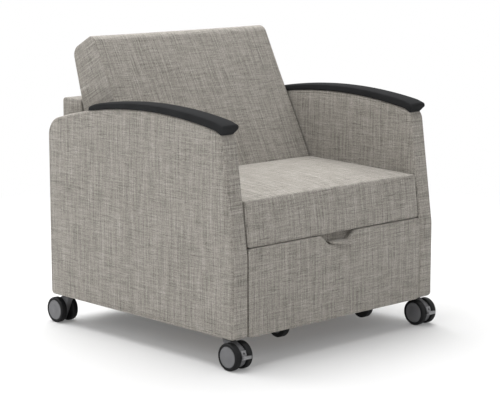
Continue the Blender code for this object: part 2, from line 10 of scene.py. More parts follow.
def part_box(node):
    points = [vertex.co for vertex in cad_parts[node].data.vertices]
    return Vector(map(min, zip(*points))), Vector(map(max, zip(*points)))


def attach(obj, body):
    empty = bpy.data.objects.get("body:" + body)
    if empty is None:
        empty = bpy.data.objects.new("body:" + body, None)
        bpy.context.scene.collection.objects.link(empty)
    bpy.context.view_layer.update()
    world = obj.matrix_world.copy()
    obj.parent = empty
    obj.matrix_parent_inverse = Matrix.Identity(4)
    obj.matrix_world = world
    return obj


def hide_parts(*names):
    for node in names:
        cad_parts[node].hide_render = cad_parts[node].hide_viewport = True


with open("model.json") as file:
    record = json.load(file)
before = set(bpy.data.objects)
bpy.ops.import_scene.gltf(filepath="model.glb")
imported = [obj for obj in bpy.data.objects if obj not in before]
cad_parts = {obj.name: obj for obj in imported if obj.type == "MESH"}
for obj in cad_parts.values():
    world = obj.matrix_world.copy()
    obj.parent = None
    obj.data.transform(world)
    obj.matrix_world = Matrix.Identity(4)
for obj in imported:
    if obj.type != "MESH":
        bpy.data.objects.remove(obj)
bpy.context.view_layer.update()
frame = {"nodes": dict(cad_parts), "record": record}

# How finely round shapes are drawn, and what counts as touching, level, flat or smooth
ARC_STEP = math.radians(6)
ARCH_STEP = math.radians(0.8)
TREAD_STEP = math.radians(15)
TURN_STEPS = 64
TOUCHING = 0.00001
NODE_TOUCHING = 0.00002
LEVEL_WITHIN = 0.0001
FLAT_FACING = 0.999
SMOOTH_ANGLE = math.radians(35)
SEAM_ANGLE = math.radians(12)

# Arms, in metres: upright at the front up to the knee, leaning back above it and arched on top
ARM_LOW, ARM_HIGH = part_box("left_arm_panel")
FRONT_Y = ARM_LOW.y
REAR_Y = ARM_HIGH.y
UNDERSIDE = ARM_LOW.z
ARM_OUTER = -ARM_LOW.x
ARM_INNER = -ARM_HIGH.x
ARM_MID = (ARM_OUTER + ARM_INNER) / 2
KNEE_Z = 0.320
KNEE_R = 0.12
FRONT_LEAN = math.radians(8.0)
ARCH_SETBACK = 0.376
ARCH_Y = FRONT_Y + ARCH_SETBACK
ARCH_TOP = 0.7016
ARCH_R = 1.594
CORNER_ROUNDS = 40
SHOULDER_R = 0.060
ARM_CORNER_R = 0.014
ARM_TOP_R = 0.042
ARM_EDGE_R = 0.009
OUTER_CROWN = 0.0026
INNER_CROWN = 0.0007
CROWN_START = 0.013
CROWN_REACH = 0.045
PAD_GRID = 0.024
SEAM_WIDTH = 0.0016
SEAM_DEPTH = 0.0009

# Arm caps: a nose that hooks over the arm's front corner, and a thin, narrow tail
CAP_LOW, CAP_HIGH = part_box("left_arm_cap")
CAP_WIDTH = CAP_HIGH.x - CAP_LOW.x
CAP_NOSE_REACH = 0.020
CAP_NOSE_DROP = 0.0085
CAP_NOSE_FLAT = 0.003
CAP_NOSE_ROUND = 0.007
CAP_HEEL_R = 0.003
CAP_HEEL_NARROW = 0.32
CAP_TIP_RISE = 0.0195
CAP_TIP_R = 0.008
CAP_FRONT_THICK = 0.0265
CAP_REAR_THICK = 0.0175
CAP_CROWN = 0.0035
CAP_STEPS = 28
CAP_CUTS = 10
CAP_END_R = 0.006
CAP_EDGE_R = 0.0055
CAP_REAR_INSET = 0.010
CAP_REAR_Y = CAP_HIGH.y - CAP_REAR_INSET
CAP_TAIL = 0.060
CAP_TAIL_Y = CAP_REAR_Y - CAP_TAIL
CAP_TAIL_CUTS = 14
CAP_TAIL_NARROW = 0.93
CAP_TAIL_THIN = 0.97
ON_TOP = 0.0003

# Back: its wedge is measured from its hinge, along and square to its face
BACK_LEAN = math.radians(27.5)
BACK_FACE = 0.022
BACK_START = 0.0143
BACK_LENGTH = 0.4805
BACK_TOP = BACK_START + BACK_LENGTH
BACK_TOP_DROP = 0.005
BACK_BOTTOM_THICK = 0.216
BACK_TOP_THICK = 0.115
BACK_CROWN = 0.008
BACK_DRAW = 0.003
BACK_TOP_DRAW = 0.001
BACK_FOOT_R = 0.005
BACK_FRONT_R = 0.032
BACK_REAR_R = 0.034
BACK_SIDE_R = 0.007
BACK_CORNER_R = 0.014
BACK_CORNER_CUTS = 5
BACK_UNEVEN = 6.0

# Seat: its front edge hangs as a lip over the front panel, and its rear edge runs up to the back's foot
LIP_HIGH = 0.030
LIP_DEEP = 0.006
SEAT_TIGHTEN = 0.007
SEAT_EDGE_FACING = 0.25
SEAT_LIFT = 0.0042
SEAT_LIFT_Z = 0.400
SEAT_LIFT_HIGH = 0.050
SEAT_SIDE_GAP = 0.0009
SEAT_REAR_REACH = 0.0105
SEAT_REAR_RISE = 0.0025
SEAT_REAR_DEEP = 0.012
SEAT_REAR_Z = 0.462
SEAT_REAR_HIGH = 0.012
SEAT_HELD_HIGH = 0.012
SEAT_UNEVEN = 7.0

# How the cushions' covers swell
PRESSURE = 4.0
SWELL_QUALITY = 5
SWELL_FRAMES = 10
SWELL_MOST = 0.005
SWELL_AT_NEIGHBOUR = 0.0014
NEIGHBOUR_FACING = 0.5
REAR_FACING = 0.7
UNEVEN_DEPTH = 0.0010

# Rear panel: its top rolls forward to just behind the back
REAR_CORNER_R = 0.010
REAR_EDGE_R = 0.005
ROLL_LOW_Z = 0.610
ROLL_OUT_Z = 0.645
ROLL_OUT = 0.0165
ROLL_TOP_OUT = 0.0055
ROLL_R = 0.012

# Front panel, its grip and the strap in it
PANEL_GAP = 0.0006
PANEL_DROP = 0.0035
PANEL_CORNER_R = 0.010
PANEL_EDGE_R = 0.0025
GRIP_TOP_HALF = 0.073
GRIP_LOW_HALF = 0.038
GRIP_DEPTH = 0.033
GRIP_R = 0.013
GRIP_FILL = 0.45
STRAP_THICK = 0.0058
STRAP_EDGE_R = 0.42 * STRAP_THICK
STRAP_RISE = 0.002
STRAP_TIP_R = 0.012
STRAP_TAIL_R = 0.005
STRAP_GRID = 0.004
STRAP_DROOP = 0.006
STRAP_TWIST = 0.005
STRAP_BEND = 1.5
STRAP_LEAN = 0.026
STRAP_SPREAD = 0.22

# Wheels: a hub's rings are shares of its radius, each with its rise over the hub's face
WHEEL_R = 0.040
CASTER_HUB_R = 0.031
CASTER_FACE_INSET = 0.0016
SUPPORT_HUB_R = 0.022
SUPPORT_FACE_INSET = 0.0010
HUB_RINGS = ((0.0, 0.0006), (0.26, 0.0004), (0.30, 0.0), (0.80, 0.0003), (0.86, 0.0009), (0.97, 0.0009),
             (1.0, -0.0012))
TYRE_GAP = 0.0004
TYRE_DIP = 0.0006
TYRE_START = 0.0018
TREAD_LIP_R = 0.0055
TREAD_FOOT_R = 0.0045
INNER_RING_SHARE = 0.45
INNER_RING_R = 0.006

# Casters: angles about the axle count upwards from the side of the chair's middle
TRAIL = 0.028
COLLAR_R = 0.0135
COLLAR_GAP = 0.0005
COLLAR_FOOT = 0.0015
HOOD_R = 0.034
HOOD_NECK = 0.032
HOOD_EDGE_R = 0.0012
HOOD_LOW_ANGLE = math.radians(-81)
HOOD_TOP_ANGLE = math.radians(-245)
LOCK_HOLE_R = 0.0034
LOCK_HOLE_DEPTH = 0.006
LOCK_HOLE_SIDES = 24
LOCK_HOLE_ANGLE = math.radians(161)
PEDAL_GAP = 0.0004
PEDAL_THICK = 0.0035
PEDAL_TIP_R = 0.050
PEDAL_RIGHT_FLARE = 0.017
PEDAL_LEFT_FLARE = 0.013
PEDAL_EDGE_R = 0.0008
PEDAL_TOP_ANGLE = math.radians(148)
PEDAL_WING_TOP = math.radians(172)
PEDAL_WING_LOW = math.radians(182)
PEDAL_LOW_ANGLE = math.radians(190)

# Forks of the support wheels
FORK_FOOT_R = 0.024
FORK_FLAT_ANGLE = math.radians(1)

# Cloth: its threads and slubs, and where on it each piece is cut
THREAD = 0.0018
THREAD_STRIDE = 17.31
WARP_RUN = 0.10
WEFT_RUN = 0.055
SLUB = 0.0027
WARP_SLUB_RUN = 0.17
WEFT_SLUB_RUN = 0.09
WARP_SHARE = 0.58
FINE_SHARE = 0.74
CROSSING = 0.0022
CROSSING_TONE = 0.072
CLOTH_MAP = "cloth"
CLOTH_SIDE_STEP = (0.311, 0.173)
CLOTH_CUT = {"left_arm": (0.0, 0.0), "right_arm": (0.57, 0.0), "rear": (0.20, 0.40), "front": (0.11, 0.23),
             "strap": (0.05, 0.31), "lining": (0.63, 0.12), "board": (0.0, 0.0), "seat": (0.41, 0.07),
             "back": (0.27, 0.19)}

# The photograph's camera
CAMERA_PLACE = Vector((-3.60402, -3.84635, 1.29112))
CAMERA_LOOK = Vector((0.67728, 0.71580, -0.17007))
CAMERA_LENS = 124.78
SENSOR_WIDTH = 36.0

# Stage: each lamp's name, place, size and power; the floor shades into white with the distance
SKY_LIGHT = 0.40
LAMPS = (("overhead", (0.3, 0.9, 3.8), 5.0, 191.0),
         ("rear_overhead", (-0.3, 2.0, 3.6), 4.0, 100.0),
         ("right_overhead", (2.6, 1.2, 3.0), 3.0, 44.0),
         ("left_side", (-3.6, -0.2, 2.2), 3.2, 58.0),
         ("front", (-0.5, -3.8, 2.2), 3.2, 44.0))
LAMP_AIM = Vector((0.0, 0.0, 0.35))
FLOOR_HALF = 14.0
FLOOR_TONE = 0.86
FLOOR_SEEN = 0.55
FLOOR_LIFT = 0.13
FLOOR_FADE_START = 1.0
FLOOR_FADE_END = 2.6

SIDES = (("left", -1), ("right", 1))
ENDS = (("front", -1), ("rear", 1))


# Node helpers

def socket_in(tree, socket, value):
    """Links a socket to another one, or sets its value."""
    if isinstance(value, bpy.types.NodeSocket):
        tree.links.new(value, socket)
    elif value is not None:
        socket.default_value = value


def calc(tree, operation, a, b=None):
    made = tree.nodes.new("ShaderNodeMath")
    made.operation = operation
    for socket, value in zip(made.inputs, (a, b)):
        socket_in(tree, socket, value)
    return made.outputs[0]


def combine(tree, x, y, z):
    made = tree.nodes.new("ShaderNodeCombineXYZ")
    for socket, value in zip(made.inputs, (x, y, z)):
        socket_in(tree, socket, value)
    return made.outputs[0]


def rough_noise(tree, vector, scale, detail=2.0, roughness=0.5):
    made = tree.nodes.new("ShaderNodeTexNoise")
    socket_in(tree, made.inputs["Vector"], vector)
    made.inputs["Scale"].default_value = scale
    made.inputs["Detail"].default_value = detail
    made.inputs["Roughness"].default_value = roughness
    return made.outputs["Fac"]


def ramp(tree, value, stops):
    """A colour ramp of (place, colour) stops."""
    made = tree.nodes.new("ShaderNodeValToRGB")
    socket_in(tree, made.inputs["Fac"], value)
    band = made.color_ramp.elements
    while len(band) < len(stops):
        band.new(0.5)
    for element, (place, colour) in zip(band, stops):
        element.position = place
        element.color = (*colour, 1.0)
    return made.outputs["Color"]


def spread(tree, value, low, high, out_low, out_high):
    """Maps low..high onto out_low..out_high, held at the ends."""
    made = tree.nodes.new("ShaderNodeMapRange")
    for socket, number in zip(made.inputs, (value, low, high, out_low, out_high)):
        socket_in(tree, socket, number)
    return made.outputs["Result"]


def blend(tree, share, a, b):
    """a where the share is 0, b where it is 1."""
    made = tree.nodes.new("ShaderNodeMix")
    for socket, value in zip(made.inputs[0:1] + made.inputs[2:4], (share, a, b)):
        socket_in(tree, socket, value)
    return made.outputs[0]


def tint(tree, colour, shade):
    """A colour multiplied by a grey value."""
    made = tree.nodes.new("ShaderNodeVectorMath")
    made.operation = "SCALE"
    socket_in(tree, made.inputs[0], colour)
    socket_in(tree, made.inputs["Scale"], shade)
    return made.outputs[0]


def bump(tree, height, distance, strength):
    made = tree.nodes.new("ShaderNodeBump")
    made.inputs["Strength"].default_value = strength
    made.inputs["Distance"].default_value = distance
    socket_in(tree, made.inputs["Height"], height)
    return made.outputs["Normal"]


def new_material(name, roughness, metallic=0.0, specular=0.5):
    made = bpy.data.materials.new(name)
    made.use_nodes = True
    shader = made.node_tree.nodes["Principled BSDF"]
    shader.inputs["Roughness"].default_value = roughness
    shader.inputs["Metallic"].default_value = metallic
    shader.inputs["Specular IOR Level"].default_value = specular
    return made, made.node_tree, shader


def object_place(tree):
    return tree.nodes.new("ShaderNodeTexCoord").outputs["Object"]


def stretched(tree, place, scale):
    """A place scaled along each axis, for a grain that runs one way."""
    made = tree.nodes.new("ShaderNodeMapping")
    made.inputs["Scale"].default_value = scale
    tree.links.new(place, made.inputs["Vector"])
    return made.outputs["Vector"]


# Finishes

def thread_tone(tree, along, across, pitch, run, seed):
    """Each thread has a tone of its own, which drifts along its length."""
    index = calc(tree, "FLOOR", calc(tree, "DIVIDE", across, pitch))
    stride = calc(tree, "MULTIPLY", index, THREAD_STRIDE)
    place = combine(tree, calc(tree, "DIVIDE", along, run), stride, seed)
    return rough_noise(tree, place, 1.0, 1.0, 0.5)


def crossing_tone(tree, u, v):
    """Each crossing of two threads has a tone of its own."""
    column, row = (calc(tree, "FLOOR", calc(tree, "DIVIDE", place, CROSSING)) for place in (u, v))
    made = tree.nodes.new("ShaderNodeTexWhiteNoise")
    made.noise_dimensions = "3D"
    tree.links.new(combine(tree, column, row, 0.0), made.inputs["Vector"])
    return made.outputs["Value"]


def woven_cloth():
    """Linen-like cloth in grey and beige: plain weave of uneven threads with dark and pale slubs."""
    made, tree, shader = new_material("woven_cloth", 0.92, specular=0.15)
    shader.inputs["Sheen Weight"].default_value = 0.12
    shader.inputs["Sheen Roughness"].default_value = 0.5
    flat = tree.nodes.new("ShaderNodeUVMap")
    flat.uv_map = CLOTH_MAP
    split = tree.nodes.new("ShaderNodeSeparateXYZ")
    tree.links.new(flat.outputs["UV"], split.inputs[0])
    u, v = split.outputs["X"], split.outputs["Y"]
    weft = thread_tone(tree, u, v, THREAD, WEFT_RUN, 1.7)
    warp = thread_tone(tree, v, u, THREAD, WARP_RUN, 5.3)
    weft_slub = thread_tone(tree, u, v, SLUB, WEFT_SLUB_RUN, 9.1)
    warp_slub = thread_tone(tree, v, u, SLUB, WARP_SLUB_RUN, 12.9)
    fine = blend(tree, WARP_SHARE, weft, warp)
    coarse = blend(tree, WARP_SHARE, weft_slub, warp_slub)
    mixed = blend(tree, FINE_SHARE, coarse, fine)
    dark_weft = spread(tree, weft_slub, 0.62, 0.74, 0.0, 0.11)
    dark_warp = spread(tree, warp_slub, 0.60, 0.74, 0.0, 0.06)
    tone = calc(tree, "SUBTRACT", mixed, calc(tree, "ADD", dark_weft, dark_warp))
    speckle = spread(tree, crossing_tone(tree, u, v), 0.0, 1.0, -CROSSING_TONE, CROSSING_TONE)
    tone = calc(tree, "ADD", tone, speckle)
    patch = rough_noise(tree, flat.outputs["UV"], 9.0, 3.0)
    tone = calc(tree, "ADD", tone, spread(tree, patch, 0.3, 0.7, -0.006, 0.006))
    dyed = ramp(tree, tone, [(0.32, (0.105, 0.097, 0.085)), (0.463, (0.214, 0.199, 0.176)),
                             (0.532, (0.250, 0.233, 0.208)), (0.68, (0.360, 0.341, 0.309))])
    tree.links.new(dyed, shader.inputs["Base Color"])
    column = calc(tree, "DIVIDE", u, THREAD)
    row = calc(tree, "DIVIDE", v, THREAD)
    over = calc(tree, "MODULO", calc(tree, "ADD", calc(tree, "FLOOR", column), calc(tree, "FLOOR", row)), 2.0)
    over = calc(tree, "ABSOLUTE", over)
    warp_round = calc(tree, "ABSOLUTE", calc(tree, "SINE", calc(tree, "MULTIPLY", column, math.pi)))
    weft_round = calc(tree, "ABSOLUTE", calc(tree, "SINE", calc(tree, "MULTIPLY", row, math.pi)))
    weave = blend(tree, over, warp_round, weft_round)
    height = calc(tree, "ADD", weave, calc(tree, "MULTIPLY", mixed, 1.5))
    tree.links.new(bump(tree, height, 0.0004, 0.35), shader.inputs["Normal"])
    return made


def moulded(name, colour, roughness, grain, relief, specular=0.3):
    """Moulded plastic or urethane: fine grain, slightly uneven gloss and colour."""
    made, tree, shader = new_material(name, roughness, specular=specular)
    place = object_place(tree)
    fine = rough_noise(tree, place, grain, 3.0, 0.6)
    broad = rough_noise(tree, place, 14.0, 2.0)
    shade = spread(tree, broad, 0.3, 0.7, 0.9, 1.1)
    tree.links.new(tint(tree, colour, shade), shader.inputs["Base Color"])
    gloss = spread(tree, broad, 0.3, 0.7, roughness - 0.05, roughness + 0.07)
    tree.links.new(gloss, shader.inputs["Roughness"])
    tree.links.new(bump(tree, fine, relief, 0.3), shader.inputs["Normal"])
    return made


def zinc_steel():
    """Zinc-plated steel with a faint drawn grain and patchy dulling."""
    made, tree, shader = new_material("zinc_steel", 0.38, metallic=1.0)
    place = object_place(tree)
    drawn = rough_noise(tree, stretched(tree, place, (500.0, 6.0, 500.0)), 1.0, 2.0)
    dull = rough_noise(tree, place, 25.0, 3.0)
    tree.links.new(ramp(tree, drawn, [(0.3, (0.47, 0.48, 0.50)), (0.7, (0.62, 0.63, 0.64))]),
                   shader.inputs["Base Color"])
    tree.links.new(spread(tree, dull, 0.3, 0.7, 0.28, 0.50), shader.inputs["Roughness"])
    tree.links.new(bump(tree, drawn, 0.00005, 0.3), shader.inputs["Normal"])
    return made


def plywood():
    """Plywood with a long grain."""
    made, tree, shader = new_material("plywood", 0.62, specular=0.3)
    grain = rough_noise(tree, stretched(tree, object_place(tree), (60.0, 7.0, 140.0)), 1.0, 4.0, 0.65)
    wood = ramp(tree, grain, [(0.30, (0.34, 0.21, 0.11)), (0.50, (0.52, 0.36, 0.21)),
                              (0.72, (0.63, 0.47, 0.30))])
    tree.links.new(wood, shader.inputs["Base Color"])
    tree.links.new(bump(tree, grain, 0.0003, 0.3), shader.inputs["Normal"])
    return made


# Mesh helpers

def held(share):
    """A share held between 0 and 1."""
    return min(1.0, max(0.0, share))


def hump(share):
    """0 at both ends of 0 to 1 and 1 in the middle."""
    share = held(share)
    return 4 * share * (1 - share)


def arc(centre, radius, start, end, step=ARC_STEP):
    """Points along an arc, ends included."""
    count = max(1, math.ceil(abs(end - start) / step))
    turns = [start + (end - start) * i / count for i in range(count + 1)]
    return [(centre[0] + radius * math.cos(t), centre[1] + radius * math.sin(t)) for t in turns]


def rounded(corners):
    """A closed outline from (a, b, radius) corners, each rounded by an arc of its radius."""
    points = []
    for i, (a, b, radius) in enumerate(corners):
        before, after = corners[i - 1], corners[(i + 1) % len(corners)]
        if radius == 0:
            points.append((a, b))
            continue
        back = math.atan2(before[1] - b, before[0] - a)
        turn = math.atan2(after[1] - b, after[0] - a) - back
        turn = (turn + math.pi) % (2 * math.pi) - math.pi
        reach = radius / math.sin(abs(turn) / 2)
        middle = back + turn / 2
        centre = (a + reach * math.cos(middle), b + reach * math.sin(middle))
        side = math.copysign(math.pi / 2, turn)
        start = back - side
        points += arc(centre, radius, start, start + turn - 2 * side)
    return points


def as_object(name, form):
    """Makes a bmesh an object of the scene."""
    data = bpy.data.meshes.new(name)
    form.to_mesh(data)
    form.free()
    item = bpy.data.objects.new(name, data)
    bpy.context.scene.collection.objects.link(item)
    return item


def closed(name, form):
    """Makes a closed bmesh an object whose faces point outwards."""
    bmesh.ops.recalc_face_normals(form, faces=form.faces)
    return as_object(name, form)


def dress(item, finishes, body, node, smooth=SMOOTH_ANGLE):
    """Gives a piece its finishes and shading and the body that it moves with, and hides the node that it
    stands for.
    """
    for finish in finishes:
        item.data.materials.append(finish)
    item.data.shade_smooth()
    if smooth:
        item.data.set_sharp_from_angle(angle=smooth)
    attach(item, body)
    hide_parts(node)


def extruded(outline, low, high):
    """A bmesh of an outline in (y, z), extruded along x from low to high."""
    form = bmesh.new()
    ring = [form.verts.new((low, y, z)) for y, z in outline]
    face = form.faces.new(ring)
    pushed = bmesh.ops.extrude_face_region(form, geom=[face])
    moved = [g for g in pushed["geom"] if isinstance(g, bmesh.types.BMVert)]
    bmesh.ops.translate(form, vec=(high - low, 0, 0), verts=moved)
    bmesh.ops.recalc_face_normals(form, faces=form.faces)
    return form


def flat_ends(form):
    """The two flat ends of an extrusion along x, lower end first: faces of more than four corners."""
    flat = [f for f in form.faces if abs(f.normal.x) > FLAT_FACING and len(f.verts) > 4]
    return sorted(flat, key=lambda f: f.normal.x)


def soften(form, edges, radius, segments):
    bmesh.ops.bevel(form, geom=edges, offset=radius, offset_type="OFFSET", segments=segments,
                    profile=0.5, affect="EDGES", material=-1, clamp_overlap=True)


def soften_rims(form, radius, segments):
    """Rounds the edges of an extrusion's flat ends."""
    soften(form, [e for f in flat_ends(form) for e in f.edges], radius, segments)


def slab(outline, low, high, radius, segments):
    """An extruded outline with rounded rims."""
    form = extruded(outline, low, high)
    soften_rims(form, radius, segments)
    return form


def seam_round(form, face):
    """A shallow seam round a flat face."""
    for depth in (-SEAM_DEPTH, SEAM_DEPTH):
        bmesh.ops.inset_region(form, faces=[face], thickness=SEAM_WIDTH, depth=depth, use_even_offset=True)


def cut_grid(form, axis, step):
    """Cuts a form across an axis at even steps, so that its flat faces can be shaped."""
    low = min(v.co[axis] for v in form.verts)
    high = max(v.co[axis] for v in form.verts)
    for i in range(1, int((high - low) / step)):
        slice_form(form, axis, low + step * i)


def slice_form(form, axis, place):
    across = Vector([1.0 if k == axis else 0.0 for k in range(3)])
    everything = form.verts[:] + form.edges[:] + form.faces[:]
    bmesh.ops.bisect_plane(form, geom=everything, plane_co=across * place, plane_no=across, dist=TOUCHING)


def edge_distance(point, outline):
    """How far a point lies from an outline's nearest side."""
    best = math.inf
    for (a, b), (c, d) in zip(outline, outline[1:] + outline[:1]):
        run, rise = c - a, d - b
        length = run * run + rise * rise
        along = held(((point[0] - a) * run + (point[1] - b) * rise) / length) if length else 0.0
        best = min(best, math.hypot(point[0] - a - along * run, point[1] - b - along * rise))
    return best


def crown_side(form, outline, place, sign, crown):
    """Swells the flat side at x = place outwards, from nothing at its seam."""
    for v in form.verts:
        inside = edge_distance((v.co.y, v.co.z), outline) - CROWN_START
        if abs(v.co.x - place) < NODE_TOUCHING and inside > 0:
            v.co.x += sign * crown * (1 - math.exp(-inside / CROWN_REACH))


def lay_cloth(item, cut, turn, crossed):
    """Lays the cloth on each face in metres, along the two directions that it faces least, and on the
    crossed sides with its warp the other way."""
    data = item.data
    layer = data.uv_layers.new(name=CLOTH_MAP)
    places = [turn @ v.co for v in data.vertices]
    for face in data.polygons:
        normal = turn @ face.normal
        axis = max(range(3), key=lambda k: abs(normal[k]))
        a, b = ((1, 2), (0, 2), (0, 1))[axis]
        if axis in crossed:
            a, b = b, a
        offset = [start + step * axis for start, step in zip(cut, CLOTH_SIDE_STEP)]
        for corner in face.loop_indices:
            place = places[data.loops[corner].vertex_index]
            layer.data[corner].uv = (place[a] + offset[0], place[b] + offset[1])


def upholster(item, body, node, cut, turn=Matrix.Identity(3), crossed=(), smooth=SMOOTH_ANGLE):
    """Covers a padded piece in the cloth."""
    dress(item, [cloth], body, node, smooth)
    lay_cloth(item, CLOTH_CUT[cut], turn, crossed)


def take_modifiers(item):
    """Takes a piece's modifiers into its mesh."""
    graph = bpy.context.evaluated_depsgraph_get()
    made = bpy.data.meshes.new_from_object(item.evaluated_get(graph))
    item.modifiers.clear()
    item.data = made


def merged_node(node):
    """A bmesh of a node's mesh, with its loose triangles joined."""
    form = bmesh.new()
    form.from_mesh(frame["nodes"][node].data)
    bmesh.ops.remove_doubles(form, verts=form.verts, dist=NODE_TOUCHING)
    return form


# Arms

def arch_z(y, lift=0.0):
    return ARCH_TOP - ARCH_R + math.sqrt((ARCH_R + lift) ** 2 - (y - ARCH_Y) ** 2)


def front_y(z):
    return FRONT_Y + max(0.0, (z - KNEE_Z) * math.tan(FRONT_LEAN))


def arm_corner():
    """Where the leaning front edge meets the arch."""
    z = ARCH_TOP
    for _ in range(CORNER_ROUNDS):
        z = arch_z(front_y(z))
    return front_y(z), z


def top_corner():
    """The arm's rounded upper front corner, from its front edge up to the arch."""
    corner_y, corner_z = arm_corner()
    low_z, rear_y = corner_z - ARM_TOP_R, corner_y + ARM_TOP_R
    below, beyond = (front_y(low_z), low_z, 0), (rear_y, arch_z(rear_y), 0)
    return rounded([below, (corner_y, corner_z, ARM_TOP_R), beyond])[1:-1]


def arm_outline():
    corner_y, corner_z = arm_corner()
    corner = top_corner()
    centre_z = ARCH_TOP - ARCH_R
    shoulder_y = REAR_Y - SHOULDER_R
    shoulder_z = centre_z + math.sqrt((ARCH_R - SHOULDER_R) ** 2 - (shoulder_y - ARCH_Y) ** 2)
    tangent = math.atan2(shoulder_z - centre_z, shoulder_y - ARCH_Y)
    start = math.atan2(corner_z - centre_z, corner_y - ARCH_Y)
    arch = arc((ARCH_Y, centre_z), ARCH_R, start, tangent, ARCH_STEP)[1:-1]
    arch = [place for place in arch if place[0] > corner[-1][0]]
    shoulder = arc((shoulder_y, shoulder_z), SHOULDER_R, tangent, 0)
    return rounded([(FRONT_Y, UNDERSIDE, ARM_CORNER_R), (FRONT_Y, KNEE_Z, KNEE_R),
                    *[(y, z, 0) for y, z in corner + arch + shoulder], (REAR_Y, UNDERSIDE, ARM_CORNER_R)])


def make_arms():
    outline = arm_outline()
    for side, sign in SIDES:
        form = slab(outline, ARM_INNER, ARM_OUTER, ARM_EDGE_R, segments=5)
        for flat in flat_ends(form):
            seam_round(form, flat)
        cut_grid(form, 1, PAD_GRID)
        cut_grid(form, 2, PAD_GRID)
        crown_side(form, outline, ARM_OUTER, 1, OUTER_CROWN)
        crown_side(form, outline, ARM_INNER, -1, INNER_CROWN)
        bmesh.ops.scale(form, vec=(sign, 1, 1), verts=form.verts)
        item = closed(f"{side}_arm_upholstery", form)
        upholster(item, "frame", f"{side}_arm_panel", f"{side}_arm", crossed=(1,))


# Arm caps

def cap_outline(corner_y, corner_z):
    """A bar along the arch, thinning to a round tail, with a nose that hooks over the front."""
    hook = [(y - ON_TOP, z + ON_TOP, 0) for y, z in reversed(top_corner()) if z > corner_z - CAP_NOSE_DROP]
    hook_y = hook[0][0]
    heel_y, heel_z, _ = hook[-1]
    shares = [i / CAP_STEPS for i in range(1, CAP_STEPS)]
    lower = []
    upper = []
    for share in shares:
        y = CAP_REAR_Y + (hook_y - CAP_REAR_Y) * share
        lower.append((y, arch_z(y, ON_TOP), 0))
        y = corner_y + (CAP_REAR_Y - corner_y) * share
        upper.append((y, arch_z(y, CAP_FRONT_THICK + (CAP_REAR_THICK - CAP_FRONT_THICK) * share), 0))
    return rounded([(CAP_REAR_Y, arch_z(CAP_REAR_Y, ON_TOP), CAP_END_R), *lower, *hook,
                    (heel_y - CAP_NOSE_FLAT, heel_z - CAP_NOSE_FLAT / 2, CAP_HEEL_R),
                    (corner_y - CAP_NOSE_REACH, corner_z + CAP_TIP_RISE, CAP_TIP_R), *upper,
                    (CAP_REAR_Y, arch_z(CAP_REAR_Y, CAP_REAR_THICK), CAP_END_R)])


def shape_cap(v, middle, corner_y, corner_z):
    """Crowns the cap's top, rounds its nose in plan, narrows its heel and draws its tail in."""
    across = abs(v.co.x - middle) / (CAP_WIDTH / 2)
    base = arch_z(v.co.y, ON_TOP)
    raised = held((v.co.z - base) / CAP_REAR_THICK)
    nose = held((corner_y + CAP_NOSE_REACH - v.co.y) / (2 * CAP_NOSE_REACH))
    heel = held((corner_z + CAP_NOSE_DROP - v.co.z) / (2 * CAP_NOSE_DROP)) * held(2 * nose)
    tail = held((v.co.y - CAP_TAIL_Y) / CAP_TAIL)
    v.co.z -= CAP_CROWN * raised * across ** 3
    v.co.z = base + (v.co.z - base) * math.sqrt(1 - CAP_TAIL_THIN * tail ** 2)
    narrowed = (1 - CAP_HEEL_NARROW * heel) * math.sqrt(1 - CAP_TAIL_NARROW * tail ** 2)
    v.co.x = middle + (v.co.x - middle) * narrowed
    v.co.y += CAP_NOSE_ROUND * nose * across ** 3


def make_caps():
    corner = arm_corner()
    outline = cap_outline(*corner)
    for side, sign in SIDES:
        middle = sign * ARM_MID
        form = slab(outline, middle - CAP_WIDTH / 2, middle + CAP_WIDTH / 2, CAP_EDGE_R, segments=5)
        for i in range(CAP_TAIL_CUTS):
            slice_form(form, 1, CAP_TAIL_Y + CAP_TAIL * i / CAP_TAIL_CUTS)
        for i in range(1, CAP_CUTS):
            slice_form(form, 0, middle + CAP_WIDTH * (i / CAP_CUTS - 0.5))
        for v in form.verts:
            shape_cap(v, middle, *corner)
        dress(closed(f"{side}_arm_rest", form), [urethane], "frame", f"{side}_arm_cap")


# Panels

def make_rear_panel():
    low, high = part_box("rear_panel")
    outline = rounded([(low.y, low.z, REAR_CORNER_R), (high.y, low.z, REAR_CORNER_R),
                       (high.y, high.z, REAR_CORNER_R), (low.y - ROLL_TOP_OUT, high.z, REAR_CORNER_R),
                       (low.y - ROLL_OUT, ROLL_OUT_Z, ROLL_R), (low.y, ROLL_LOW_Z, ROLL_R)])
    form = slab(outline, low.x, high.x, REAR_EDGE_R, segments=4)
    upholster(closed("rear_upholstery", form), "frame", "rear_panel", "rear")


def make_front_panel():
    """The panel below the seat, with the grip cut into its top edge."""
    low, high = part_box("front_panel")
    floor = high.z - GRIP_DEPTH
    top = high.z - PANEL_DROP
    half = ARM_INNER - INNER_CROWN - PANEL_GAP
    right = [(half, low.z, PANEL_CORNER_R), (half, top, PANEL_CORNER_R), (GRIP_TOP_HALF, top, GRIP_R),
             (GRIP_LOW_HALF, floor, GRIP_R)]
    left = [(-x, z, radius) for x, z, radius in reversed(right)]
    form = slab(rounded(right + left), 0.0, high.y - low.y, PANEL_EDGE_R, segments=4)
    for v in form.verts:
        v.co = (v.co.y, low.y + v.co.x, v.co.z)
    upholster(closed("front_upholstery", form), "seat_unit", "front_panel", "front")


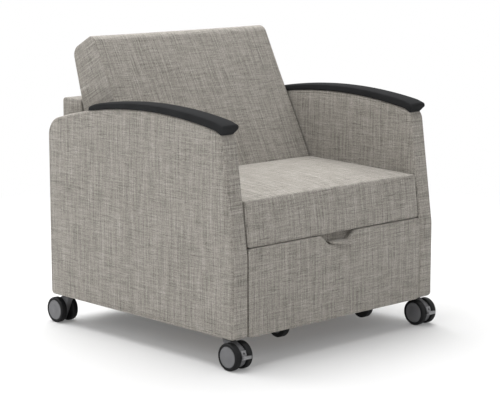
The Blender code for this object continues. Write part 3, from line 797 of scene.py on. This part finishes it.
def make_pull_strap():
    """A folded tongue of the cloth that lies in the grip and droops over its edge."""
    low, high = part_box("pull_tab")
    plan = rounded([(low.y, low.x, STRAP_TIP_R), (low.y, high.x, STRAP_TIP_R), (high.y, high.x, STRAP_TAIL_R),
                    (high.y, low.x, STRAP_TAIL_R)])
    form = slab(plan, 0.0, STRAP_THICK, STRAP_EDGE_R, segments=3)
    cut_grid(form, 1, STRAP_GRID)
    cut_grid(form, 2, STRAP_GRID)
    for v in form.verts:
        up, y, x = v.co
        out = max(0.0, (FRONT_Y - y) / (FRONT_Y - low.y))
        lower = (STRAP_DROOP + STRAP_TWIST * x / high.x) * out ** STRAP_BEND
        v.co = (x * (1 + STRAP_SPREAD * out) + STRAP_LEAN * out, y, low.z + STRAP_RISE + up - lower)
    upholster(closed("pull_strap", form), "seat_unit", "pull_tab", "strap")


def make_grip_lining():
    """The cloth-covered strip that closes the grip from behind."""
    item = closed("grip_backing", merged_node("grip_lining"))
    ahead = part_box("front_panel")[0].y
    low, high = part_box("grip_lining")
    for v in item.data.vertices:
        if v.co.y < (low.y + high.y) / 2:
            v.co.y -= GRIP_FILL * (low.y - ahead)
    upholster(item, "seat_unit", "grip_lining", "lining")


def make_back_cover():
    """The cloth-covered board behind the back cushion."""
    item = closed("back_rear_cover", merged_node("back_board"))
    upholster(item, "back", "back_board", "board", turn=Matrix.Rotation(BACK_LEAN, 3, "X"))


# Cushions

def seams_of(item):
    """The points along the cover's seams, where its faces meet at an angle."""
    form = bmesh.new()
    form.from_mesh(item.data)
    seams = [e for e in form.edges if e.is_manifold and e.calc_face_angle() > SEAM_ANGLE]
    found = {v.index for e in seams for v in e.verts}
    form.free()
    return found


def swell(item, resting, room):
    """Presses the cover outwards from inside, and holds each point to the room that it has there."""
    data = item.data
    rest = [v.co.copy() for v in data.vertices]
    out = [v.normal.copy() for v in data.vertices]
    seams = seams_of(item)
    pins = item.vertex_groups.new(name="held")
    for i, normal in enumerate(out):
        pins.add([i], 1.0 if i in seams or resting(rest[i], normal) else 0.0, "REPLACE")
    sim = item.modifiers.new("swell", "CLOTH")
    settings = sim.settings
    settings.quality = SWELL_QUALITY
    settings.use_pressure = True
    settings.uniform_pressure_force = PRESSURE
    settings.effector_weights.gravity = 0.0
    settings.vertex_group_mass = pins.name
    sim.collision_settings.use_collision = False
    sim.point_cache.frame_start = 1
    sim.point_cache.frame_end = SWELL_FRAMES
    for step in range(1, SWELL_FRAMES + 1):
        bpy.context.scene.frame_set(step)
    take_modifiers(item)
    bpy.context.scene.frame_set(1)
    for v, start, normal in zip(item.data.vertices, rest, out):
        move = v.co - start
        most = room(normal)
        if move.length > 0:
            v.co = start + move * (most * math.tanh(move.length / most) / move.length)


def ease(item, size):
    """A faint unevenness of the foam under the cloth."""
    normals = [v.normal.copy() for v in item.data.vertices]
    for v, normal in zip(item.data.vertices, normals):
        v.co += normal * (UNEVEN_DEPTH * noise.noise(v.co * size))


def finish_cushion(item, body, node, cut, turn=Matrix.Identity(3), crossed=()):
    fine = item.modifiers.new("fine", "SUBSURF")
    fine.levels = 1
    fine.render_levels = 1
    upholster(item, body, node, cut, turn, crossed, smooth=None)


def tighten_front(item):
    """Draws the seat's front edges tighter than the solid's."""
    normals = [v.normal.copy() for v in item.data.vertices]
    for v, normal in zip(item.data.vertices, normals):
        if normal.y < -SEAT_EDGE_FACING:
            v.co += Vector([SEAT_TIGHTEN * (math.copysign(1.0, n) - n) if abs(n) > SEAT_EDGE_FACING else 0.0
                            for n in normal])


def fit_seat(item):
    """Widens the seat to the arms, lifts its top, drops its lip and runs its rear up to the back's foot."""
    low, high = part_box("seat_cushion")
    lip_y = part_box("front_panel")[1].y
    widen = (ARM_INNER - INNER_CROWN - SEAT_SIDE_GAP) / max(abs(v.co.x) for v in item.data.vertices)
    for v in item.data.vertices:
        lip = held((lip_y - v.co.y) / LIP_DEEP) * held((low.z + LIP_HIGH - v.co.z) / LIP_HIGH)
        lift = held((v.co.z - SEAT_LIFT_Z) / SEAT_LIFT_HIGH)
        rear = held((v.co.y - high.y) / SEAT_REAR_DEEP + 1) * held((v.co.z - SEAT_REAR_Z) / SEAT_REAR_HIGH)
        v.co.x *= widen
        v.co.y += SEAT_REAR_REACH * rear
        v.co.z += SEAT_LIFT * lift + SEAT_REAR_RISE * rear - PANEL_DROP * lip


def make_seat():
    item = closed("seat_pad", merged_node("seat_cushion"))
    held_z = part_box("seat_cushion")[0].z + SEAT_HELD_HIGH

    def resting(place, normal):
        return place.z < held_z

    def room(normal):
        beside = abs(normal.x) > NEIGHBOUR_FACING or normal.y > NEIGHBOUR_FACING
        return SWELL_AT_NEIGHBOUR if beside else SWELL_MOST

    swell(item, resting, room)
    ease(item, SEAT_UNEVEN)
    tighten_front(item)
    fit_seat(item)
    finish_cushion(item, "seat_unit", "seat_cushion", "seat")


def round_corner(v, half):
    """Rounds the back's two upper corners, as seen from in front."""
    out_x = abs(v.co.x) - half + BACK_CORNER_R
    out_z = v.co.z - BACK_TOP + BACK_CORNER_R
    reach = math.hypot(out_x, out_z)
    if out_x > 0 and out_z > 0 and reach > BACK_CORNER_R:
        beyond = 1 - BACK_CORNER_R / reach
        v.co.x -= math.copysign(out_x * beyond, v.co.x)
        v.co.z -= out_z * beyond


def crown_back(v, half):
    """Crowns the back's face, and draws its sides and its top in between their corners."""
    up = (v.co.z - BACK_START) / BACK_LENGTH
    along = (v.co.y + BACK_FACE) / (BACK_BOTTOM_THICK + (BACK_TOP_THICK - BACK_BOTTOM_THICK) * up)
    across = hump(v.co.x / (2 * half) + 0.5)
    v.co.x -= math.copysign(BACK_DRAW, v.co.x) * hump(up) * hump(along) * abs(v.co.x) / half
    v.co.y -= BACK_CROWN * (1 - along) * across * hump(up)
    v.co.z -= BACK_TOP_DRAW * up * across * hump(along)


def back_form():
    """The back's wedge, put in its place at the hinge."""
    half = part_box("back_cushion")[1].x
    outline = rounded([(-BACK_FACE, BACK_START, BACK_FOOT_R),
                       (BACK_BOTTOM_THICK - BACK_FACE, BACK_START, BACK_FOOT_R),
                       (BACK_TOP_THICK - BACK_FACE, BACK_TOP - BACK_TOP_DROP, BACK_REAR_R),
                       (-BACK_FACE, BACK_TOP, BACK_FRONT_R)])
    form = slab(outline, -half, half, BACK_SIDE_R, segments=4)
    for axis in range(3):
        cut_grid(form, axis, PAD_GRID)
    for i in range(BACK_CORNER_CUTS):
        place = half - BACK_CORNER_R + (BACK_CORNER_R - BACK_SIDE_R) * i / BACK_CORNER_CUTS
        slice_form(form, 0, -place)
        slice_form(form, 0, place)
    for v in form.verts:
        round_corner(v, half)
        crown_back(v, half)
    hinge = next(j for j in frame["record"]["behaviour"]["joints"] if j["name"] == "back_fold")["pos_m"]
    form.transform(Matrix.Translation(hinge) @ Matrix.Rotation(-BACK_LEAN, 4, "X"))
    return form


def make_back():
    item = closed("back_pad", back_form())
    upright = Matrix.Rotation(BACK_LEAN, 3, "X")

    def resting(place, normal):
        return (upright @ normal).y > REAR_FACING

    def room(normal):
        beside = abs(normal.x) > NEIGHBOUR_FACING or (upright @ normal).z < -NEIGHBOUR_FACING
        return SWELL_AT_NEIGHBOUR if beside else SWELL_MOST

    swell(item, resting, room)
    ease(item, BACK_UNEVEN)
    finish_cushion(item, "back", "back_cushion", "back", upright, crossed=(0,))


# Casters

def turned(profile):
    """A bmesh of an open (radius, along) profile, turned about the x axis."""
    form = bmesh.new()
    line = [form.verts.new((along, 0, radius)) for radius, along in profile]
    edges = [form.edges.new(pair) for pair in zip(line, line[1:])]
    bmesh.ops.spin(form, geom=line + edges, cent=(0, 0, 0), axis=(1, 0, 0), angle=2 * math.pi,
                   steps=TURN_STEPS, use_merge=True)
    bmesh.ops.remove_doubles(form, verts=form.verts, dist=TOUCHING)
    return form


def wheel_profile(radius, width, hub, face_in):
    """Half section of a wheel, outer face first: hub, tyre's side, tread and inner face."""
    half = width / 2
    face = [(hub * share, half - face_in + rise) for share, rise in HUB_RINGS]
    lip = arc((radius - TREAD_LIP_R, half - TREAD_LIP_R), TREAD_LIP_R, math.pi / 2, 0, TREAD_STEP)
    foot = arc((radius - TREAD_FOOT_R, TREAD_FOOT_R - half), TREAD_FOOT_R, 0, -math.pi / 2, TREAD_STEP)
    return [*face, (hub + TYRE_GAP, half - TYRE_DIP), (hub + TYRE_START, half), *lip, *foot,
            (radius * INNER_RING_SHARE, -half), (INNER_RING_R, -half), (0.0, -half)]


def make_wheel(name, node, facing, hub, face_in):
    """A wheel whose hub faces left or right. Its body has its node's name."""
    low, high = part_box(node)
    form = turned(wheel_profile((high.z - low.z) / 2, high.x - low.x, hub, face_in))
    bmesh.ops.scale(form, vec=(facing, 1, 1), verts=form.verts)
    for face in form.faces:
        place = face.calc_center_median()
        near = math.hypot(place.y, place.z) < hub
        face.material_index = 1 if near and place.x * facing > 0 else 0
    bmesh.ops.translate(form, vec=(low + high) / 2, verts=form.verts)
    dress(closed(name, form), [tyre, caster_grey], node, node)


def make_collar(caster):
    """A round collar about the stem, with a chamfered foot."""
    low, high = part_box(f"{caster}_plate")
    stem_low, stem_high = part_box(f"{caster}_stem")
    bore = (stem_high.x - stem_low.x) / 2 + COLLAR_GAP
    half = (high.z - low.z) / 2
    form = turned([(bore, -half), (COLLAR_R - COLLAR_FOOT, -half), (COLLAR_R, COLLAR_FOOT - half),
                   (COLLAR_R, half), (bore, half), (bore, -half)])
    centre = (low + high) / 2
    for v in form.verts:
        v.co = centre + Vector((v.co.y, v.co.z, v.co.x))
    dress(closed(f"{caster}_collar", form), [black_paint], "frame", f"{caster}_plate")


def make_hood(caster, axle_y, away):
    """A hood round the axle, with a neck that rises to the stem."""
    node = f"{caster}_hood"
    low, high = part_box(node)
    stem_y = axle_y - away * TRAIL
    near, far = stem_y - away * HOOD_NECK / 2, stem_y + away * HOOD_NECK / 2
    sweep = arc((0, 0), HOOD_R, HOOD_LOW_ANGLE, HOOD_TOP_ANGLE)
    shell = [(axle_y - away * y, WHEEL_R + z) for y, z in sweep]
    form = slab([*shell, (far, high.z), (near, high.z)], low.x, high.x, HOOD_EDGE_R, segments=3)
    item = closed(f"{caster}_housing", form)
    dress(item, [hood_grey], caster, node)
    return item


def make_pedal(caster, axle_y):
    """A shoe round the front of the hood, with a tread that flares out in front of the wheels."""
    node = f"{caster}_brake_pedal"
    low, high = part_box(node)
    inner = HOOD_R + PEDAL_GAP
    outer = inner + PEDAL_THICK
    loop = [*arc((0, 0), inner, PEDAL_LOW_ANGLE, PEDAL_TOP_ANGLE),
            *arc((0, 0), outer, PEDAL_TOP_ANGLE, PEDAL_WING_TOP),
            *arc((0, 0), PEDAL_TIP_R, PEDAL_WING_TOP, PEDAL_WING_LOW),
            *arc((0, 0), outer, PEDAL_WING_LOW, PEDAL_LOW_ANGLE)]
    half = (high.x - low.x) / 2
    form = extruded(loop, -half, half)
    for v in form.verts:
        out = (math.hypot(v.co.y, v.co.z) - outer) / (PEDAL_TIP_R - outer)
        flare = PEDAL_RIGHT_FLARE if v.co.x > 0 else PEDAL_LEFT_FLARE
        v.co.x *= 1 + max(0.0, out) * (flare / half - 1)
    soften_rims(form, PEDAL_EDGE_R, segments=2)
    bmesh.ops.translate(form, vec=((low.x + high.x) / 2, axle_y, WHEEL_R), verts=form.verts)
    item = closed(f"{caster}_pedal_tread", form)
    dress(item, [pedal_grey], node, node)
    return item


def cut_lock_hole(item, axle):
    """The round hole above the brake pedal's tread."""
    out = Vector((0, math.cos(LOCK_HOLE_ANGLE), math.sin(LOCK_HOLE_ANGLE)))
    form = bmesh.new()
    bmesh.ops.create_cone(form, cap_ends=True, segments=LOCK_HOLE_SIDES, radius1=LOCK_HOLE_R,
                          radius2=LOCK_HOLE_R, depth=2 * LOCK_HOLE_DEPTH)
    bmesh.ops.rotate(form, cent=(0, 0, 0), matrix=out.to_track_quat("Z", "Y").to_matrix(), verts=form.verts)
    bmesh.ops.translate(form, vec=axle + out * HOOD_R, verts=form.verts)
    cutter = closed("lock_hole_cutter", form)
    drill = item.modifiers.new("lock_hole", "BOOLEAN")
    drill.operation = "DIFFERENCE"
    drill.solver = "EXACT"
    drill.object = cutter
    take_modifiers(item)
    bpy.data.objects.remove(cutter)


def make_caster(caster, away):
    """A caster's two wheels, collar and hood, and a pedal on a front one."""
    for place, facing in SIDES:
        make_wheel(f"{caster}_{place}_tread_wheel", f"{caster}_{place}_wheel", facing, CASTER_HUB_R,
                   CASTER_FACE_INSET)
    make_collar(caster)
    low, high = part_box(f"{caster}_left_wheel")
    axle_y = (low.y + high.y) / 2
    hood = make_hood(caster, axle_y, away)
    if away < 0:
        low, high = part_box(f"{caster}_hood")
        axle = Vector(((low.x + high.x) / 2, axle_y, WHEEL_R))
        cut_lock_hole(hood, axle)
        cut_lock_hole(make_pedal(caster, axle_y), axle)


def make_casters():
    for end, away in ENDS:
        for side, _ in SIDES:
            make_caster(f"{end}_{side}_caster", away)


# Support wheels and their forks

def make_support_wheels():
    for side, sign in SIDES:
        make_wheel(f"{side}_support_roller", f"{side}_support_wheel", sign, SUPPORT_HUB_R, SUPPORT_FACE_INSET)


def make_forks():
    """Bent forks over the support wheels, their feet rounded about the axle."""
    for side, _ in SIDES:
        node = f"{side}_support_fork"
        foot_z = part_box(node)[0].z + LEVEL_WITHIN
        form = merged_node(node)
        bmesh.ops.dissolve_limit(form, angle_limit=FORK_FLAT_ANGLE, verts=form.verts, edges=form.edges)
        feet = [e for e in form.edges if all(v.co.z < foot_z for v in e.verts)
                and abs(e.verts[0].co.y - e.verts[1].co.y) < LEVEL_WITHIN]
        soften(form, feet, FORK_FOOT_R, segments=8)
        dress(closed(f"{side}_support_bracket", form), [black_paint], "seat_unit", node)


# What stays as built

def finish_nodes():
    by_slot = {"steel": zinc, "dark_steel": black_paint, "plywood": ply, "hood": hood_grey, "tyre": tyre,
               "cap": urethane, "fabric": cloth}
    for entry in frame["record"]["subparts"]:
        item = frame["nodes"][entry["node"]]
        item.data.materials.clear()
        item.data.materials.append(by_slot[entry["material_slot"]])


# Stage

def seen_directly(tree):
    """1 for rays that show the background: from the camera, in gloss or through glass."""
    path = tree.nodes.new("ShaderNodeLightPath")
    seen = calc(tree, "MAXIMUM", path.outputs["Is Camera Ray"], path.outputs["Is Glossy Ray"])
    return calc(tree, "MAXIMUM", seen, path.outputs["Is Transmission Ray"])


def white_floor():
    """White floor that keeps the chair's shadow and fades into the white behind it."""
    made, tree, shader = new_material("white_floor", 0.9, specular=0.0)
    seen = seen_directly(tree)
    shade = spread(tree, seen, 0.0, 1.0, FLOOR_TONE, FLOOR_SEEN / (1 - FLOOR_LIFT))
    tree.links.new(combine(tree, shade, shade, shade), shader.inputs["Base Color"])
    away = tree.nodes.new("ShaderNodeVectorMath")
    away.operation = "LENGTH"
    tree.links.new(object_place(tree), away.inputs[0])
    far = spread(tree, away.outputs["Value"], FLOOR_FADE_START, FLOOR_FADE_END, FLOOR_LIFT, 1.0)
    glow = tree.nodes.new("ShaderNodeEmission")
    mix = tree.nodes.new("ShaderNodeMixShader")
    tree.links.new(calc(tree, "MULTIPLY", far, seen), mix.inputs["Fac"])
    tree.links.new(shader.outputs["BSDF"], mix.inputs[1])
    tree.links.new(glow.outputs["Emission"], mix.inputs[2])
    tree.links.new(mix.outputs["Shader"], tree.nodes["Material Output"].inputs["Surface"])
    return made


def make_floor():
    form = bmesh.new()
    bmesh.ops.create_grid(form, x_segments=2, y_segments=2, size=FLOOR_HALF)
    floor = as_object("floor", form)
    floor.data.materials.append(white_floor())


def make_sky():
    world = bpy.data.worlds.new("studio")
    bpy.context.scene.world = world
    world.use_nodes = True
    tree = world.node_tree
    sky = tree.nodes["Background"]
    sky.inputs["Color"].default_value = (1.0, 1.0, 1.0, 1.0)
    tree.links.new(spread(tree, seen_directly(tree), 0.0, 1.0, SKY_LIGHT, 1.0), sky.inputs["Strength"])


def aimed(name, data, place, look):
    """Puts a lamp or the camera in its place, looking along a direction."""
    item = bpy.data.objects.new(name, data)
    item.location = place
    item.rotation_euler = look.to_track_quat("-Z", "Y").to_euler()
    bpy.context.scene.collection.objects.link(item)
    return item


def make_lamps():
    for name, place, size, power in LAMPS:
        lamp = bpy.data.lights.new(name, "AREA")
        lamp.shape = "DISK"
        lamp.size = size
        lamp.energy = power
        aimed(name, lamp, place, LAMP_AIM - Vector(place))


def make_camera():
    lens = bpy.data.cameras.new("camera")
    lens.lens = CAMERA_LENS
    lens.sensor_width = SENSOR_WIDTH
    bpy.context.scene.camera = aimed("camera", lens, CAMERA_PLACE, CAMERA_LOOK)


bpy.context.scene.view_settings.view_transform = "Standard"
cloth = woven_cloth()
urethane = moulded("black_urethane", (0.0205, 0.0208, 0.0215), 0.68, 900.0, 0.0003, 0.004)
tyre = moulded("black_tyre", (0.006, 0.006, 0.0065), 0.60, 700.0, 0.0002, 0.16)
caster_grey = moulded("wheel_face_grey", (0.13, 0.13, 0.135), 0.50, 1200.0, 0.0001)
hood_grey = moulded("hood_grey", (0.10, 0.10, 0.104), 0.45, 1200.0, 0.0001)
pedal_grey = moulded("pedal_grey", (0.20, 0.20, 0.205), 0.42, 1200.0, 0.0001)
black_paint = moulded("black_paint", (0.022, 0.022, 0.024), 0.40, 1500.0, 0.00005)
zinc = zinc_steel()
ply = plywood()
make_camera()
make_floor()
make_sky()
make_lamps()
finish_nodes()
make_arms()
make_caps()
make_rear_panel()
make_front_panel()
make_pull_strap()
make_grip_lining()
make_back_cover()
make_seat()
make_back()
make_casters()
make_support_wheels()
make_forks()
